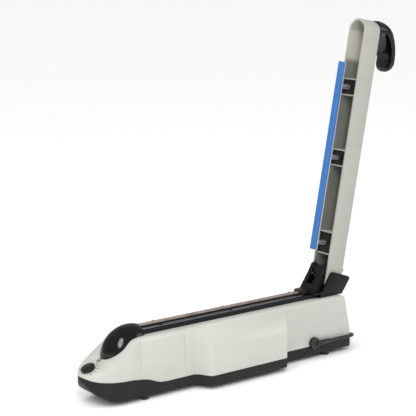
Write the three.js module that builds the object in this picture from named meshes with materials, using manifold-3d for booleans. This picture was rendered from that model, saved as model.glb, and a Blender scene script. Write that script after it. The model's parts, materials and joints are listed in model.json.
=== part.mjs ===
// Table-top impulse heat sealer: a long moulded body with a heated sealing bed on top, and a hinged
// channel arm that carries a sprung silicone pressure bar. Millimetres, +Z up, bench at z = 0.
// x runs from the nose (negative) to the hinge end (zero), and the operator's near side is -y.

import * as THREE from 'three';
import { mergeVertices } from 'three/addons/utils/BufferGeometryUtils.js';
import Module from 'manifold-3d';

const wasm = await Module();
wasm.setup();

// ---------------------------------------------------------------- driving dimensions
const seatGap = 0.3; // face-to-face gap between touching pieces

const bodyLength = 489.5; // nose tip to the hinge end
const bodyHalfWidth = 36.5; // at the base pan
const shoulderHalfWidth = 33; // at the top of the cover
const shoulderHeight = 94;
const shoulderRadius = 8;
const rearOverhang = 6; // how far the foot of the leaning rear wall stands past x = 0
const rearTopX = -9;
const rearCorner = 8;
const noseTaper = 65; // length of the plan taper at the nose
const noseRoundness = 2.1; // superellipse exponent of the plan taper
const capSplit = 406.5; // joint between the main cover and the nose cap, from the hinge end
const wall = 2.5; // moulded shell wall

const panBottom = 8;
const seamHeight = 22.5;
const rearSeamHeight = 26.6;

const bulgeHalfWidth = 60; // transformer housing on the near side
const bulgeFront = 316;
const bulgeFlare = 25;
const bulgeRear = 137;
const bulgeRearSlant = 15;
const bulgeFold = 65.6;
const bulgeTop = 91;
const bulgeTopY = 32;

const railHalfWidth = 15.5;
const railFlange = 4.5; // how far the rail's foot reaches under the cover roof each side
const railTop = 100;
const railFront = 404;
const railRear = 12;
const ridgeHalfWidth = 4.2;
const ridgeFront = 392;
const ridgeRear = 76;
const padThickness = 0.6;
const ribbonThickness = 0.2;
const ribbonHalfWidth = 1.5;
const ptfeThickness = 0.4;
const ptfeSkirt = 1.3;
const ptfeHalfWidth = 4.9;
const crestTop = 105; // top of the sealing bed
const clampWidth = 7.2;
const clampThickness = 1.5;
const clampInset = 1.9; // clamp strip edge to rail edge
const clampScrews = [355, 225, 90]; // from the hinge end

const domeCentre = [-405, 66]; // x, z of the dome's centre
const domeAxes = [47.5, 29, 43.3];
const domeHalfWidth = 24;
const domeRear = 391;

const footRadius = 6.6;
const footInset = 9.5;
const footFront = 397;
const footRear = 44;
const footBore = 2;

const pivotX = -40;
const pivotZ = 126.3;
const openLean = 10.4; // degrees that the open arm leans behind upright
const pinRadius = 2.5;
const armWidth = 37;
const armWall = 3;
const armFace = 3.8; // open face of the channel, behind the pivot
const armDepth = 33;
const armHeel = 12; // how far the channel reaches below the pivot
const armTip = 418; // pivot to the rounded tip
const armTipCorner = 12;
const stripThickness = 5;
const stripHalfWidth = 5;
const stripStart = 42; // pivot to the near end of the pressure strip
const stripEnd = 346;
const carrierThickness = 2;
const stemRadius = 2.6;
const stemReach = 14;
const guideBays = [[37.3, 70.6], [181.5, 205], [296, 320]]; // rib pairs that hold the bar guides
const ribThickness = 2;
const ribFront = 6.5;

const hubDepth = 22.5; // pivot to the front face of the hub block
const hubLow = -10;
const hubHigh = 14;
const lugHalfWidth = 6;
const camBase = 5.5;
const camLift = 1.2;

const cheekGap = 0.7; // arm wall to bracket cheek, and arm wall to bracket tongue
const cheekThickness = 3.6;
const tongueWall = 3;
const tongueSkin = 1.8;

const handleWidth = 34;
const plungerRadius = 1.8;

const knobX = -476;
const knobY = -1.5;
const knobRadius = 10.8;
const knobHeight = 4.6;
const shaftRadius = 3;

const cordRadius = 2.75;
const coilTurns = 3; // turns side by side
const coilLayers = 2;
const coilRadius = 30; // middle of the turns
const coilCentre = [-110, 84];

// ---------------------------------------------------------------- helpers
function solidOf(geometry) {
  const bare = geometry.clone();
  bare.deleteAttribute('normal');
  bare.deleteAttribute('uv');
  const merged = mergeVertices(bare, 1e-4);
  const mesh = new wasm.Mesh({
    numProp: 3,
    vertProperties: merged.attributes.position.array,
    triVerts: new Uint32Array(merged.index.array),
  });
  return new wasm.Manifold(mesh);
}

function geometryOf(solid) {
  const mesh = solid.getMesh();
  const geometry = new THREE.BufferGeometry();
  geometry.setAttribute('position', new THREE.BufferAttribute(new Float32Array(mesh.vertProperties), 3));
  geometry.setIndex(new THREE.BufferAttribute(new Uint32Array(mesh.triVerts), 1));
  return geometry;
}

function unite(first, ...rest) {
  return rest.reduce((sum, next) => sum.add(next), first);
}

function cut(first, ...rest) {
  return rest.reduce((sum, next) => sum.subtract(next), first);
}

// a prism of a shape drawn in plan (x, y), between two heights
function prismUp(shape, low, high, curveSegments = 8) {
  const settings = { depth: high - low, bevelEnabled: false, curveSegments };
  return solidOf(new THREE.ExtrudeGeometry(shape, settings).translate(0, 0, low));
}

// a prism of a shape drawn from the side (x, z), between two y values
function prismAcross(shape, low, high, curveSegments = 8) {
  const settings = { depth: high - low, bevelEnabled: false, curveSegments };
  return solidOf(new THREE.ExtrudeGeometry(shape, settings).rotateX(Math.PI / 2).translate(0, high, 0));
}

// a prism of a shape drawn from the end (y, z), between two x values
function prismAlong(shape, low, high, curveSegments = 8) {
  const settings = { depth: high - low, bevelEnabled: false, curveSegments };
  const turn = new THREE.Matrix4().makeBasis(
    new THREE.Vector3(0, 1, 0),
    new THREE.Vector3(0, 0, 1),
    new THREE.Vector3(1, 0, 0),
  );
  return solidOf(new THREE.ExtrudeGeometry(shape, settings).applyMatrix4(turn).translate(low, 0, 0));
}

function polygon(points) {
  return new THREE.Shape(points.map(([a, b]) => new THREE.Vector2(a, b)));
}

function boxSolid(x0, x1, y0, y1, z0, z1) {
  const box = new THREE.BoxGeometry(x1 - x0, y1 - y0, z1 - z0);
  return solidOf(box.translate((x0 + x1) / 2, (y0 + y1) / 2, (z0 + z1) / 2));
}

// an upright cylinder or cone from z0 to z1
function postSolid(x, y, z0, z1, lowRadius, highRadius = lowRadius, sides = 24) {
  const post = new THREE.CylinderGeometry(highRadius, lowRadius, z1 - z0, sides);
  return solidOf(post.rotateX(Math.PI / 2).translate(x, y, (z0 + z1) / 2));
}

// a cylinder or cone lying across the body, from y0 to y1
function axleSolid(x, z, y0, y1, radius, sides = 24) {
  const axle = new THREE.CylinderGeometry(radius, radius, y1 - y0, sides);
  return solidOf(axle.translate(x, (y0 + y1) / 2, z));
}

// a cylinder or cone along x, from x0 to x1
function rodSolid(x0, x1, y, z, startRadius, endRadius = startRadius, sides = 24) {
  const rod = new THREE.CylinderGeometry(startRadius, endRadius, x1 - x0, sides);
  return solidOf(rod.rotateZ(Math.PI / 2).translate((x0 + x1) / 2, y, z));
}

function sweep(points, radius, sides, steps) {
  const curve = new THREE.CatmullRomCurve3(points.map((p) => new THREE.Vector3(...p)), false, 'centripetal');
  const section = new THREE.Shape();
  for (let i = 0; i < sides; i += 1) {
    const angle = (2 * Math.PI * i) / sides;
    const point = [radius * Math.cos(angle), radius * Math.sin(angle)];
    if (i === 0) section.moveTo(...point);
    else section.lineTo(...point);
  }
  return new THREE.ExtrudeGeometry(section, { steps, extrudePath: curve, bevelEnabled: false });
}

const paint = {
  cover: { color: 0xcfd2cb, roughness: 0.45, metalness: 0 },
  black: { color: 0x2e2e30, roughness: 0.5, metalness: 0 },
  gloss: { color: 0x0b0b0c, roughness: 0.12, metalness: 0 },
  arm: { color: 0xc2c3bb, roughness: 0.45, metalness: 0 },
  blue: { color: 0x3f7ec6, roughness: 0.4, metalness: 0 },
  steel: { color: 0xb4b6b8, roughness: 0.35, metalness: 1 },
  aluminium: { color: 0x9a9da0, roughness: 0.4, metalness: 1 },
  ptfe: { color: 0x8c8078, roughness: 0.6, metalness: 0 },
  rubber: { color: 0x1c1c1c, roughness: 0.8, metalness: 0 },
  copper: { color: 0xb8672e, roughness: 0.4, metalness: 1 },
  board: { color: 0x2b6a3c, roughness: 0.5, metalness: 0 },
  red: { color: 0xa85848, roughness: 0.2, metalness: 0 },
};

const machine = new THREE.Group();

function addTo(group, name, shape, finish) {
  const geometry = shape.isBufferGeometry ? shape : geometryOf(shape);
  const mesh = new THREE.Mesh(geometry, new THREE.MeshStandardMaterial(paint[finish]));
  mesh.name = name;
  group.add(mesh);
  return mesh;
}

// ---------------------------------------------------------------- body outlines
// Plan of the body: parallel sides, rounded rear corners and a blunt bullet nose.
function bodyPlan(inset) {
  const half = bodyHalfWidth - inset;
  const rear = rearOverhang - inset;
  const corner = rearCorner - inset;
  const start = -(bodyLength - noseTaper);
  const reach = noseTaper - inset;
  const shape = new THREE.Shape();
  shape.moveTo(start, -half);
  shape.lineTo(rear - corner, -half);
  shape.absarc(rear - corner, -half + corner, corner, -Math.PI / 2, 0);
  shape.absarc(rear - corner, half - corner, corner, 0, Math.PI / 2);
  const count = 26;
  for (let i = 0; i < count; i += 1) {
    const angle = Math.PI / 2 - (Math.PI * i) / count;
    const along = Math.abs(Math.cos(angle)) ** (2 / noseRoundness);
    const across = Math.sign(Math.sin(angle)) * Math.abs(Math.sin(angle)) ** (2 / noseRoundness);
    shape.lineTo(start - reach * along, half * across);
  }
  return shape;
}

// Plan of the transformer housing: an S-shaped flare at the front and a slanted step at the rear.
function bulgePlan(inset) {
  const half = bulgeHalfWidth - inset;
  const side = bodyHalfWidth - inset;
  const rear = -bulgeRear - inset;
  const front = -bulgeFront + inset;
  const inner = -bulgeTopY / 2;
  const shape = new THREE.Shape();
  shape.moveTo(front - bulgeFlare / 2, inner);
  shape.lineTo(front - bulgeFlare / 2, -side);
  shape.lineTo(front, -side);
  shape.bezierCurveTo(front + bulgeFlare / 2, -side, front + bulgeFlare / 2, -half, front + bulgeFlare, -half);
  shape.lineTo(rear - bulgeRearSlant, -half);
  shape.lineTo(rear, -side);
  shape.lineTo(rear, inner);
  return shape;
}

// Side view of the cover: leaning rear wall, level top, and a nose that falls away in a shallow hollow.
const noseLine = [
  [-404, shoulderHeight], [-417, 90.6], [-431, 78.5], [-446, 68], [-460, 60.4], [-475, 54], [-484, 50], [-494, 46.5],
];

function coverProfile(inset) {
  const slope = (rearTopX - rearOverhang) / (shoulderHeight - panBottom);
  const top = shoulderHeight - inset;
  const rearAt = (height) => rearOverhang + slope * (height - panBottom) - inset;
  const shape = new THREE.Shape();
  shape.moveTo(rearAt(0), 0);
  shape.lineTo(rearAt(top - 6), top - 6);
  shape.quadraticCurveTo(rearAt(top), top, rearAt(top) - 6, top);
  const line = noseLine.map(([x, z]) => new THREE.Vector2(x + inset * 0.6, z - inset));
  shape.lineTo(line[0].x, line[0].y);
  shape.splineThru(line.slice(1));
  shape.lineTo(line[line.length - 1].x, 0);
  return shape;
}

// End view of the cover: drafted sides, rounded shoulders.
function coverSection(inset) {
  const foot = bodyHalfWidth - inset;
  const side = shoulderHalfWidth - inset;
  const top = shoulderHeight - inset;
  const radius = shoulderRadius;
  const shape = new THREE.Shape();
  shape.moveTo(-foot, 0);
  shape.lineTo(foot, 0);
  shape.lineTo(foot, seamHeight);
  shape.lineTo(side, top - radius);
  shape.quadraticCurveTo(side, top, side - radius, top);
  shape.lineTo(-side + radius, top);
  shape.quadraticCurveTo(-side, top, -side, top - radius);
  shape.lineTo(-foot, seamHeight);
  return shape;
}

// End view of the transformer housing: upright wall with a sloping upper facet.
function bulgeSection(inset) {
  return polygon([
    [-bulgeHalfWidth + inset, 0],
    [-bulgeTopY / 2, 0],
    [-bulgeTopY / 2, bulgeTop - inset * 1.4],
    [-bulgeTopY, bulgeTop - inset * 1.4],
    [-bulgeHalfWidth + inset + 0.6, bulgeFold - inset * 0.5],
  ]);
}

// The parting line between cover and pan, seen from the side.
const seamLine = [
  [20, rearSeamHeight], [-60, rearSeamHeight], [-66, seamHeight], [-364, seamHeight], [-374, 23.4],
  [-383, 26.4], [-393, 30.6], [-403, 33], [-420, 35], [-440, 36.3], [-456, 37.3], [-471, 39], [-480, 40.8],
  [-487, 43.5], [-496, 47.5],
];

function aboveSeam(lift) {
  const points = seamLine.map(([x, z]) => [x, z + lift]);
  return prismAcross(polygon([...points, [-520, 47.5 + lift], [-520, 160], [20, 160]]), -90, 90);
}

function belowSeam() {
  return prismAcross(polygon([...seamLine, [-520, 47.5], [-520, -20], [20, -20]]), -90, 90);
}

// The pan's underside: level on the bench side, sweeping up under the nose.
const undersideLine = [
  [20, panBottom], [-450, panBottom], [-461.5, 11.5], [-469.7, 15.5], [-477.5, 21.5], [-483.5, 27.7],
  [-487.5, 34], [-496, 46],
];

function aboveUnderside(lift) {
  const points = undersideLine.map(([x, z]) => [x, z + lift]);
  return prismAcross(polygon([...points, [-520, 46 + lift], [-520, 160], [20, 160]]), -90, 90);
}

function bodyEnvelope(inset) {
  const body = prismUp(bodyPlan(inset), 0, 150)
    .intersect(prismAcross(coverProfile(inset), -50, 50, 10))
    .intersect(prismAlong(coverSection(inset), -520, 20, 6));
  const bulge = prismUp(bulgePlan(inset), 0, 150, 10).intersect(prismAlong(bulgeSection(inset), -350, -100));
  return body.add(bulge);
}

// ---------------------------------------------------------------- cord gland, used by cover and pan
const gland = { x: -77, z: 27, radius: 9.4, face: -41.5, sleeveY: -41, sleeveEnd: -44 };
const glandHole = axleSolid(gland.x, gland.z, -50, -30, gland.radius + seatGap, 32);

// ---------------------------------------------------------------- covers
const coverOuter = bodyEnvelope(0);
const coverInner = bodyEnvelope(wall);
const coverShell = cut(coverOuter, coverInner).intersect(aboveSeam(seatGap));

const slotHalf = railHalfWidth + seatGap;
const railSlot = boxSolid(-railFront - seatGap, -railRear + seatGap, -slotHalf, slotHalf, shoulderHeight - 6, 150);
const rearOfSplit = boxSolid(-capSplit + seatGap / 2, 20, -90, 90, 0, 160);
const frontOfSplit = boxSolid(-560, -capSplit - seatGap / 2, -90, 90, 0, 160);

addTo(machine, 'main_cover', cut(coverShell.intersect(rearOfSplit), railSlot, glandHole), 'cover');

// frame of the timer knob, square to the nose panel
const knobTilt = Math.atan2(54 - 50, 484 - 475);
const knobSeat = [knobX, knobY, 53.5];

function onKnobAxis(radius, low, high, sides = 32) {
  const post = new THREE.CylinderGeometry(radius, radius, high - low, sides);
  post.rotateX(Math.PI / 2).translate(0, 0, (low + high) / 2);
  return solidOf(post.rotateY(-knobTilt).translate(...knobSeat));
}

const led = { x: -455.4, y: 2.6, z: 62.9, radius: 2.6 };
const shaftHole = onKnobAxis(shaftRadius + 1, -8, 6);
const ledHole = postSolid(led.x, led.y, led.z - 12, led.z + 8, led.radius + seatGap);
addTo(machine, 'nose_cap', cut(coverShell.intersect(frontOfSplit), shaftHole, ledHole), 'cover');

// ---------------------------------------------------------------- base pan
const panSection = (inset) => prismUp(bodyPlan(inset), 0, 70).add(prismUp(bulgePlan(inset), 0, 70, 10));
const panOuter = panSection(0).intersect(belowSeam()).intersect(aboveUnderside(0));
const panInner = panSection(wall).intersect(aboveUnderside(wall));
const footPlaces = [
  ['front_near', -footFront, -1],
  ['front_far', -footFront, 1],
  ['rear_near', -footRear, -1],
  ['rear_far', -footRear, 1],
];
const footY = bodyHalfWidth - footInset;
const bossHeight = 10;
const boardPosts = [[-432, -14], [-432, 14], [-384, -14], [-384, 14]];
const boardHeight = 26;
const panFloor = panBottom + wall;
let pan = cut(panOuter, panInner);
for (const [, x, side] of footPlaces) {
  pan = pan.add(postSolid(x, side * footY, panBottom + 0.5, panFloor + bossHeight, 4.5));
}
for (const [x, y] of boardPosts) {
  pan = pan.add(postSolid(x, y, panBottom + 0.5, boardHeight, 3, 2.6, 16));
}
for (const [, x, side] of footPlaces) {
  pan = pan.subtract(postSolid(x, side * footY, 0, panFloor + bossHeight - 2, 1.8, 1.8, 16));
}
addTo(machine, 'base_pan', cut(pan, glandHole), 'black');

// feet and their screws
const footTop = panBottom - seatGap;
const footRecess = 3;
for (const [place, x, side] of footPlaces) {
  const profile = [
    [footBore, footRecess], [3.4, footRecess], [3.4, 0], [footRadius - 0.6, 0],
    [footRadius, 0.8], [footRadius, footTop], [footBore, footTop], [footBore, footRecess],
  ].map(([r, z]) => new THREE.Vector2(r, z));
  const foot = new THREE.LatheGeometry(profile, 28).rotateX(Math.PI / 2).translate(x, side * footY, 0);
  addTo(machine, `foot_${place}`, solidOf(foot), 'rubber');
  const screw = unite(
    postSolid(x, side * footY, 0.8, footRecess - seatGap, 3, 3, 20),
    postSolid(x, side * footY, footRecess - 0.6, panFloor + bossHeight - 3, 1.45, 1.45, 12),
  );
  addTo(machine, `foot_screw_${place}`, screw, 'steel');
}

// ---------------------------------------------------------------- sealing bed
const roofUnder = shoulderHeight - wall;
const railFoot = roofUnder - seatGap;
const ridgeTop = crestTop - ptfeThickness - ribbonThickness - padThickness - 3 * seatGap;
const railWidth = railHalfWidth + railFlange;
const bracketPlate = { low: railTop + seatGap, high: railTop + 3, front: -72, rear: -14 };
const bracketScrews = [[-19, -9.5], [-19, 9.5]];
const clampY = railHalfWidth - clampInset - clampWidth / 2;

let rail = unite(
  boxSolid(-railFront, -railRear - 6, -railWidth, railWidth, railFoot - 3.2, railFoot),
  boxSolid(-railFront, -railRear, -railHalfWidth, railHalfWidth, railFoot - 3.2, railTop),
  boxSolid(-ridgeFront, -ridgeRear, -ridgeHalfWidth, ridgeHalfWidth, railTop - 1, ridgeTop),
);
for (const place of clampScrews) {
  rail = cut(rail, postSolid(-place, -clampY, 90, 110, 1.8, 1.8, 12), postSolid(-place, clampY, 90, 110, 1.8, 1.8, 12));
}
for (const [x, y] of bracketScrews) {
  rail = cut(rail, postSolid(x, y, 91, 110, 1.8, 1.8, 12));
}
addTo(machine, 'bed_rail', rail, 'black');

const padLow = ridgeTop + seatGap;
const ribbonLow = padLow + padThickness + seatGap;
const ptfeUnder = crestTop - ptfeThickness;
const padHalfWidth = ridgeHalfWidth - 0.4;
const bedFront = -ridgeFront;
const bedRear = -ridgeRear;
addTo(machine, 'insulating_pad',
  boxSolid(bedFront, bedRear, -padHalfWidth, padHalfWidth, padLow, padLow + padThickness), 'black');
addTo(machine, 'heating_element',
  boxSolid(bedFront, bedRear, -ribbonHalfWidth, ribbonHalfWidth, ribbonLow, ribbonLow + ribbonThickness), 'steel');
const ptfe = cut(
  boxSolid(bedFront, bedRear, -ptfeHalfWidth, ptfeHalfWidth, crestTop - ptfeSkirt, crestTop),
  boxSolid(bedFront - 1, bedRear + 1, -ptfeHalfWidth + 0.3, ptfeHalfWidth - 0.3, 90, ptfeUnder),
);
addTo(machine, 'ptfe_cover', ptfe, 'ptfe');

const clampRearEnd = -bracketPlate.front + 11;
const clampFrontEnd = domeRear - 1;
const clampLow = railTop + seatGap;
const screwHead = 3;
for (const [place, side] of [['near', -1], ['far', 1]]) {
  const low = side * clampY - clampWidth / 2;
  let strip = boxSolid(-clampFrontEnd, -clampRearEnd, low, low + clampWidth, clampLow, clampLow + clampThickness);
  clampScrews.forEach((distance, index) => {
    strip = strip.subtract(postSolid(-distance, side * clampY, 90, 110, 1.9, 1.9, 12));
    const seat = clampLow + clampThickness + seatGap;
    const screw = unite(
      postSolid(-distance, side * clampY, seat, seat + 1.2, screwHead, screwHead - 0.7, 20),
      postSolid(-distance, side * clampY, 93, seat + 0.5, 1.45, 1.45, 12),
    );
    addTo(machine, `clamp_screw_${place}_${index + 1}`, screw, 'steel');
  });
  addTo(machine, `clamp_strip_${place}`, strip, 'aluminium');
}

// the blocks that grip the two ends of the heating element
const terminalTop = ribbonLow + ribbonThickness + seatGap;
addTo(machine, 'rear_terminal',
  boxSolid(bedRear + seatGap, bedRear + 8, -5.2, 5.2, railTop + seatGap, terminalTop), 'steel');
addTo(machine, 'front_terminal',
  boxSolid(bedFront - 10, bedFront - seatGap, -5.2, 5.2, railTop + seatGap, terminalTop), 'steel');

// ---------------------------------------------------------------- dome over the front terminal
function domeSolid(inset) {
  const ball = new THREE.SphereGeometry(1, 40, 28).rotateX(Math.PI / 2);
  ball.scale(domeAxes[0] - inset, domeAxes[1] - inset, domeAxes[2] - inset);
  const trim = new THREE.Shape();
  const half = domeHalfWidth - inset;
  trim.moveTo(-520, -half);
  trim.lineTo(-domeRear - inset, -half);
  trim.lineTo(-domeRear - inset, half);
  trim.lineTo(-520, half);
  return solidOf(ball.translate(domeCentre[0], 0, domeCentre[1])).intersect(prismUp(trim, 0, 200));
}
const coverBlock = prismAcross(coverProfile(-seatGap), -60, 60, 10);
const dome = cut(
  domeSolid(0),
  domeSolid(wall),
  coverBlock,
  boxSolid(-railFront - seatGap, -380, -railHalfWidth - seatGap, railHalfWidth + seatGap, 60, railTop + seatGap),
  boxSolid(-420, -380, -ptfeHalfWidth - seatGap, ptfeHalfWidth + seatGap, 60, crestTop + seatGap),
);
addTo(machine, 'end_dome', dome, 'gloss');

// ---------------------------------------------------------------- timer, lamp and electrics
addTo(machine, 'timer_potentiometer', unite(onKnobAxis(8, -13, -3.4), onKnobAxis(shaftRadius, -4, 4.6)), 'steel');
const knobBody = unite(onKnobAxis(knobRadius, 1.4, knobHeight), onKnobAxis(knobRadius - 2.4, knobHeight - 1, knobHeight + 1.2));
addTo(machine, 'timer_knob', cut(knobBody, onKnobAxis(shaftRadius + seatGap, -3, 5)), 'gloss');
const lens = new THREE.LatheGeometry([
  [0, -9], [led.radius, -9], [led.radius, 0.4], [led.radius * 0.7, 1.5], [0, 2],
].map(([r, z]) => new THREE.Vector2(r, z)), 20);
addTo(machine, 'status_led', solidOf(lens.rotateX(Math.PI / 2).translate(led.x, led.y, led.z)), 'red');

const boardLow = boardHeight + seatGap;
const boardTop = boardLow + 1.6;
addTo(machine, 'control_board', unite(
  boxSolid(-438, -378, -20, 20, boardLow, boardTop),
  boxSolid(-400, -382, -8, 8, boardTop - 0.5, boardTop + 15),
  postSolid(-415, 8, boardTop - 0.5, boardTop + 12, 5, 5, 16),
  boxSolid(-430, -421, -14, 4, boardTop - 0.5, boardTop + 4),
), 'board');

const core = { x: -217, y: -30, length: 66, depth: 28, height: 54, low: panFloor + seatGap, leg: 22, window: 11, yoke: 11 };
const coreTop = core.low + core.height;
const windowLow = core.low + core.yoke;
const windowHigh = coreTop - core.yoke;
function coreBox(x0, x1, half, low, high) {
  return boxSolid(core.x + x0, core.x + x1, core.y - half, core.y + half, low, high);
}
addTo(machine, 'transformer_core', cut(
  coreBox(-core.length / 2, core.length / 2, core.depth / 2, core.low, coreTop),
  coreBox(core.leg / 2, core.leg / 2 + core.window, 60, windowLow, windowHigh),
  coreBox(-core.leg / 2 - core.window, -core.leg / 2, 60, windowLow, windowHigh),
), 'steel');
const windingReach = core.leg / 2 + core.window - seatGap;
addTo(machine, 'transformer_winding', cut(
  coreBox(-windingReach, windingReach, core.depth / 2 + 9, windowLow + seatGap, windowHigh - seatGap),
  coreBox(-core.leg / 2 - seatGap, core.leg / 2 + seatGap, core.depth / 2 + seatGap, 0, 90),
), 'copper');

// ---------------------------------------------------------------- hinge bracket
const springWire = 0.5;
const springRadius = pinRadius + 1.4;
const tongueHalf = armWidth / 2 - armWall - cheekGap;
const cheekInner = armWidth / 2 + cheekGap;
const cheekOuter = cheekInner + cheekThickness;
const plateLow = bracketPlate.low;
const plateHigh = bracketPlate.high;

// the tongue's side view, set out from the pivot
const tongueFoot = [pivotX - 26, plateHigh];
const tongueKnee = [pivotX - 7.6, pivotZ + 3.5];
const tongueTop = [pivotX + 0.6, pivotZ + 18.1];
const tongueSide = polygon([
  [tongueFoot[0], plateLow], tongueFoot, tongueKnee, tongueTop,
  [pivotX + 8.2, pivotZ + 18.1], [pivotX + 12, pivotZ + 9.7], [pivotX + 14, plateHigh], [pivotX + 14, plateLow],
]);
const frontLine = [tongueFoot, tongueKnee, tongueTop];
const tongueFront = polygon([
  ...frontLine,
  [tongueTop[0] + tongueSkin * 1.3, tongueTop[1]],
  [tongueKnee[0] + tongueSkin * 1.2, tongueKnee[1] - tongueSkin * 0.35],
  [tongueFoot[0] + tongueSkin * 1.3, tongueFoot[1]],
]);
const lugSlot = boxSolid(pivotX - 60, pivotX + 60, -lugHalfWidth - 0.6, lugHalfWidth + 0.6, pivotZ - 11, pivotZ + 60);

// cheeks lean back like the arm's guard, with rounded upper corners
const cheekFoot = shoulderHeight + seatGap;
function cheekShape() {
  const shape = new THREE.Shape();
  shape.moveTo(pivotX - 14.2, cheekFoot);
  shape.lineTo(pivotX + 9.6, pivotZ + 3.6);
  shape.quadraticCurveTo(pivotX + 12.6, pivotZ + 7.6, pivotX + 17.4, pivotZ + 5.8);
  shape.lineTo(pivotX + 46.5, pivotZ - 4.4);
  shape.quadraticCurveTo(pivotX + 52, pivotZ - 6.6, pivotX + 49.4, pivotZ - 10.8);
  shape.lineTo(pivotX + 34.3, cheekFoot);
  return shape;
}

// the rear bridge that the open arm leans on, set in the arm's own open position
function inArmFrame(solid) {
  return solid.rotate([0, openLean, 0]).translate([pivotX, 0, pivotZ]);
}
const stopFace = armFace + armDepth + seatGap;
const rearBridge = inArmFrame(boxSolid(stopFace, stopFace + 2.5, -cheekInner - 1, cheekInner + 1, -20, -3));

const lip = { front: -stripStart + pivotX + 0.6, rear: tongueFoot[0] + 2, low: crestTop + 0.4, high: crestTop + 2.2 };
const lipHalf = 9;
const lipPost = ptfeHalfWidth + 0.7;
const bracket = cut(
  unite(
    boxSolid(tongueFoot[0] - 1, bracketPlate.rear, -cheekOuter, cheekOuter, plateLow, plateHigh),
    prismAcross(tongueSide, -tongueHalf, -lugHalfWidth - 0.6),
    prismAcross(tongueSide, tongueHalf - tongueWall, tongueHalf),
    prismAcross(tongueFront, -tongueHalf, tongueHalf),
    prismAcross(cheekShape(), -cheekOuter, -cheekInner),
    prismAcross(cheekShape(), cheekInner, cheekOuter),
    rearBridge,
    boxSolid(lip.front, lip.rear, -lipHalf, lipHalf, lip.low, lip.high),
    boxSolid(lip.front, lip.rear, -lipHalf, -lipPost, plateLow, lip.high),
    boxSolid(lip.front, lip.rear, lipPost, lipHalf, plateLow, lip.high),
  ),
  lugSlot,
  axleSolid(pivotX, pivotZ, -tongueHalf - 1, tongueHalf + 1, pinRadius + seatGap),
  axleSolid(pivotX, pivotZ, lugHalfWidth, tongueHalf - tongueWall, springRadius + springWire + seatGap),
  ...bracketScrews.map(([x, y]) => postSolid(x, y, 90, 110, 1.9, 1.9, 12)),
);
addTo(machine, 'hinge_bracket', bracket, 'black');
bracketScrews.forEach(([x, y], index) => {
  const screw = unite(
    postSolid(x, y, plateHigh + seatGap, plateHigh + 2.4, screwHead, screwHead - 0.7, 20),
    postSolid(x, y, 92.5, plateHigh + 0.8, 1.45, 1.45, 12),
  );
  addTo(machine, `bracket_screw_${index + 1}`, screw, 'steel');
});
addTo(machine, 'hinge_pin', axleSolid(pivotX, pivotZ, -tongueHalf, tongueHalf, pinRadius), 'steel');

// torsion spring on the pin beside the lug
const springStart = lugHalfWidth + 0.9;
const springPitch = 1.2;
const springLoops = 3;
const springPath = [[22.2, springStart, springRadius + 0.3], [10, springStart, springRadius + 0.1]];
const loopSteps = 8;
for (let i = 0; i <= springLoops * loopSteps; i += 1) {
  const angle = Math.PI / 2 + (2 * Math.PI * i) / loopSteps;
  const y = springStart + (springPitch * i) / loopSteps;
  springPath.push([springRadius * Math.cos(angle), y, springRadius * Math.sin(angle)]);
}
springPath.push([-8, springStart + springPitch * springLoops, -5]);
const torsion = sweep(springPath, springWire, 6, 84).translate(pivotX, 0, pivotZ);
addTo(machine, 'torsion_spring', solidOf(torsion), 'steel');

// switch under the hub: the lug's cam presses its plunger as the arm closes
const switchHigh = plateHigh + 9;
const plungerTop = pivotZ - camBase - seatGap;
addTo(machine, 'micro_switch', cut(
  boxSolid(pivotX - 11, pivotX + 11, -4.5, 4.5, plateHigh + seatGap, switchHigh),
  postSolid(pivotX, 0, plateHigh + 2.5, switchHigh + 5, plungerRadius + seatGap, plungerRadius + seatGap, 20),
), 'black');
addTo(machine, 'switch_plunger', unite(
  postSolid(pivotX, 0, plateHigh + 4.5, plungerTop - 1, plungerRadius, plungerRadius, 20),
  postSolid(pivotX, 0, plungerTop - 1, plungerTop, plungerRadius, plungerRadius - 0.9, 20),
), 'red');

// ---------------------------------------------------------------- arm, in its own frame
// In this frame z runs along the arm from the pivot, x is depth behind the pivot, y is across.
const arm = new THREE.Group();
arm.position.set(pivotX, 0, pivotZ);
arm.rotation.y = THREE.MathUtils.degToRad(openLean);
machine.add(arm);

const armHalf = armWidth / 2;
const armBack = armFace + armDepth;
const webInner = armBack - armWall;

function armOutline(inset, low) {
  const half = armHalf - inset;
  const shape = new THREE.Shape();
  shape.moveTo(-half, low);
  shape.lineTo(half, low);
  shape.lineTo(half, armTip - armHalf);
  shape.absarc(0, armTip - armHalf, half, 0, Math.PI);
  return shape;
}
const armSide = new THREE.Shape();
armSide.moveTo(armFace, -armHeel);
armSide.lineTo(armBack - 7, -armHeel);
armSide.quadraticCurveTo(armBack, -armHeel, armBack, -2);
armSide.lineTo(armBack, armTip - armTipCorner);
armSide.quadraticCurveTo(armBack, armTip, armBack - armTipCorner, armTip);
armSide.lineTo(armFace, armTip);

const bumpHeight = 12;
const handleScrewPlaces = [395, 367];
const hubScrews = { y: [-7, 7], place: 1.2 };
const ribs = guideBays.flat().map((place, index) => {
  const low = index % 2 === 0 ? place - ribThickness : place;
  return boxSolid(ribFront, armBack - 1, -armHalf + 1, armHalf - 1, low, low + ribThickness);
});
let channel = prismAlong(armOutline(0, -armHeel), armFace, armBack, 12).intersect(prismAcross(armSide, -30, 30));
channel = cut(channel, prismAlong(armOutline(armWall, -armHeel - 5), armFace - 5, webInner, 12));
channel = unite(channel, ...ribs, axleSolid(armBack + 0.8, bumpHeight, -armHalf + 1.5, armHalf - 1.5, 3.2, 18));
for (const place of handleScrewPlaces) {
  channel = channel.subtract(rodSolid(webInner - 3, armBack + 4, 0, place, 2, 2, 14));
}
for (const y of hubScrews.y) {
  channel = channel.subtract(rodSolid(webInner - 3, armBack + 4, y, hubScrews.place, 2, 2, 14));
}
addTo(arm, 'arm_channel', channel, 'arm');

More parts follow.
